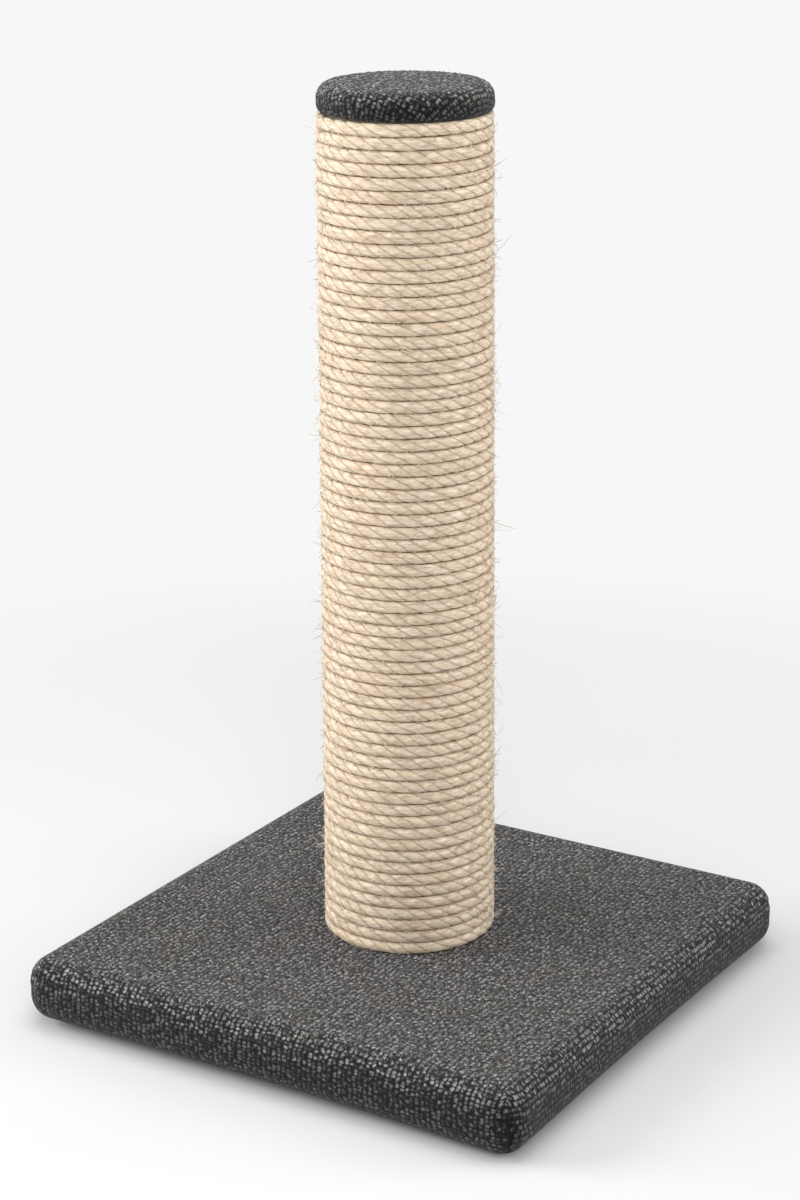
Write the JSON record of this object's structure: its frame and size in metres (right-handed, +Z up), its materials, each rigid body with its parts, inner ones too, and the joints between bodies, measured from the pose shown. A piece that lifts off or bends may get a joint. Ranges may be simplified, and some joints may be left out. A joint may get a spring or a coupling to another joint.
{
  "type": "cat scratching post",
  "caption": "Free-standing cat scratching post: a sisal-wound round post on a square cloth-covered base, with a padded round cap.",
  "frame": {"origin": "on the floor, below the middle of the square base, under the rubber feet", "axes": "+Z up along the post, +X to the right and +Y to the back, each square to a side of the base"},
  "size_m": [0.3, 0.3, 0.4915],
  "materials": {
    "charcoal_cloth": "coarse woven, dark grey melange",
    "sisal": "natural twisted sisal fibre, pale straw colour",
    "padding": "soft white polyester wadding",
    "chipboard": "raw chipboard",
    "plywood": "raw turned board",
    "cardboard": "spiral-wound grey-brown cardboard",
    "rubber": "matt black",
    "zinc_steel": "zinc plated"
  },
  "bodies": {
    "root": {"base_board": "chipboard", "base_padding": "padding", "base_cover": "charcoal_cloth", "base_staples": "zinc_steel", "foot_front_left": "rubber", "foot_front_right": "rubber", "foot_rear_left": "rubber", "foot_rear_right": "rubber", "foot_screws": "zinc_steel", "base_bolt": "zinc_steel", "base_washer": "zinc_steel", "spring_washer": "zinc_steel", "lower_tee_nut": "zinc_steel", "upper_tee_nut": "zinc_steel", "lower_plug": "plywood", "upper_plug": "plywood", "plug_pins": "zinc_steel", "post_tube": "cardboard", "rope_tacks": "zinc_steel", "sisal_rope_upper": "sisal", "sisal_rope_lower": "sisal", "cap_bolt": "zinc_steel", "cap_disc": "plywood", "cap_padding": "padding", "cap_cover": "charcoal_cloth", "cap_staples": "zinc_steel"}
  },
  "joints": []
}
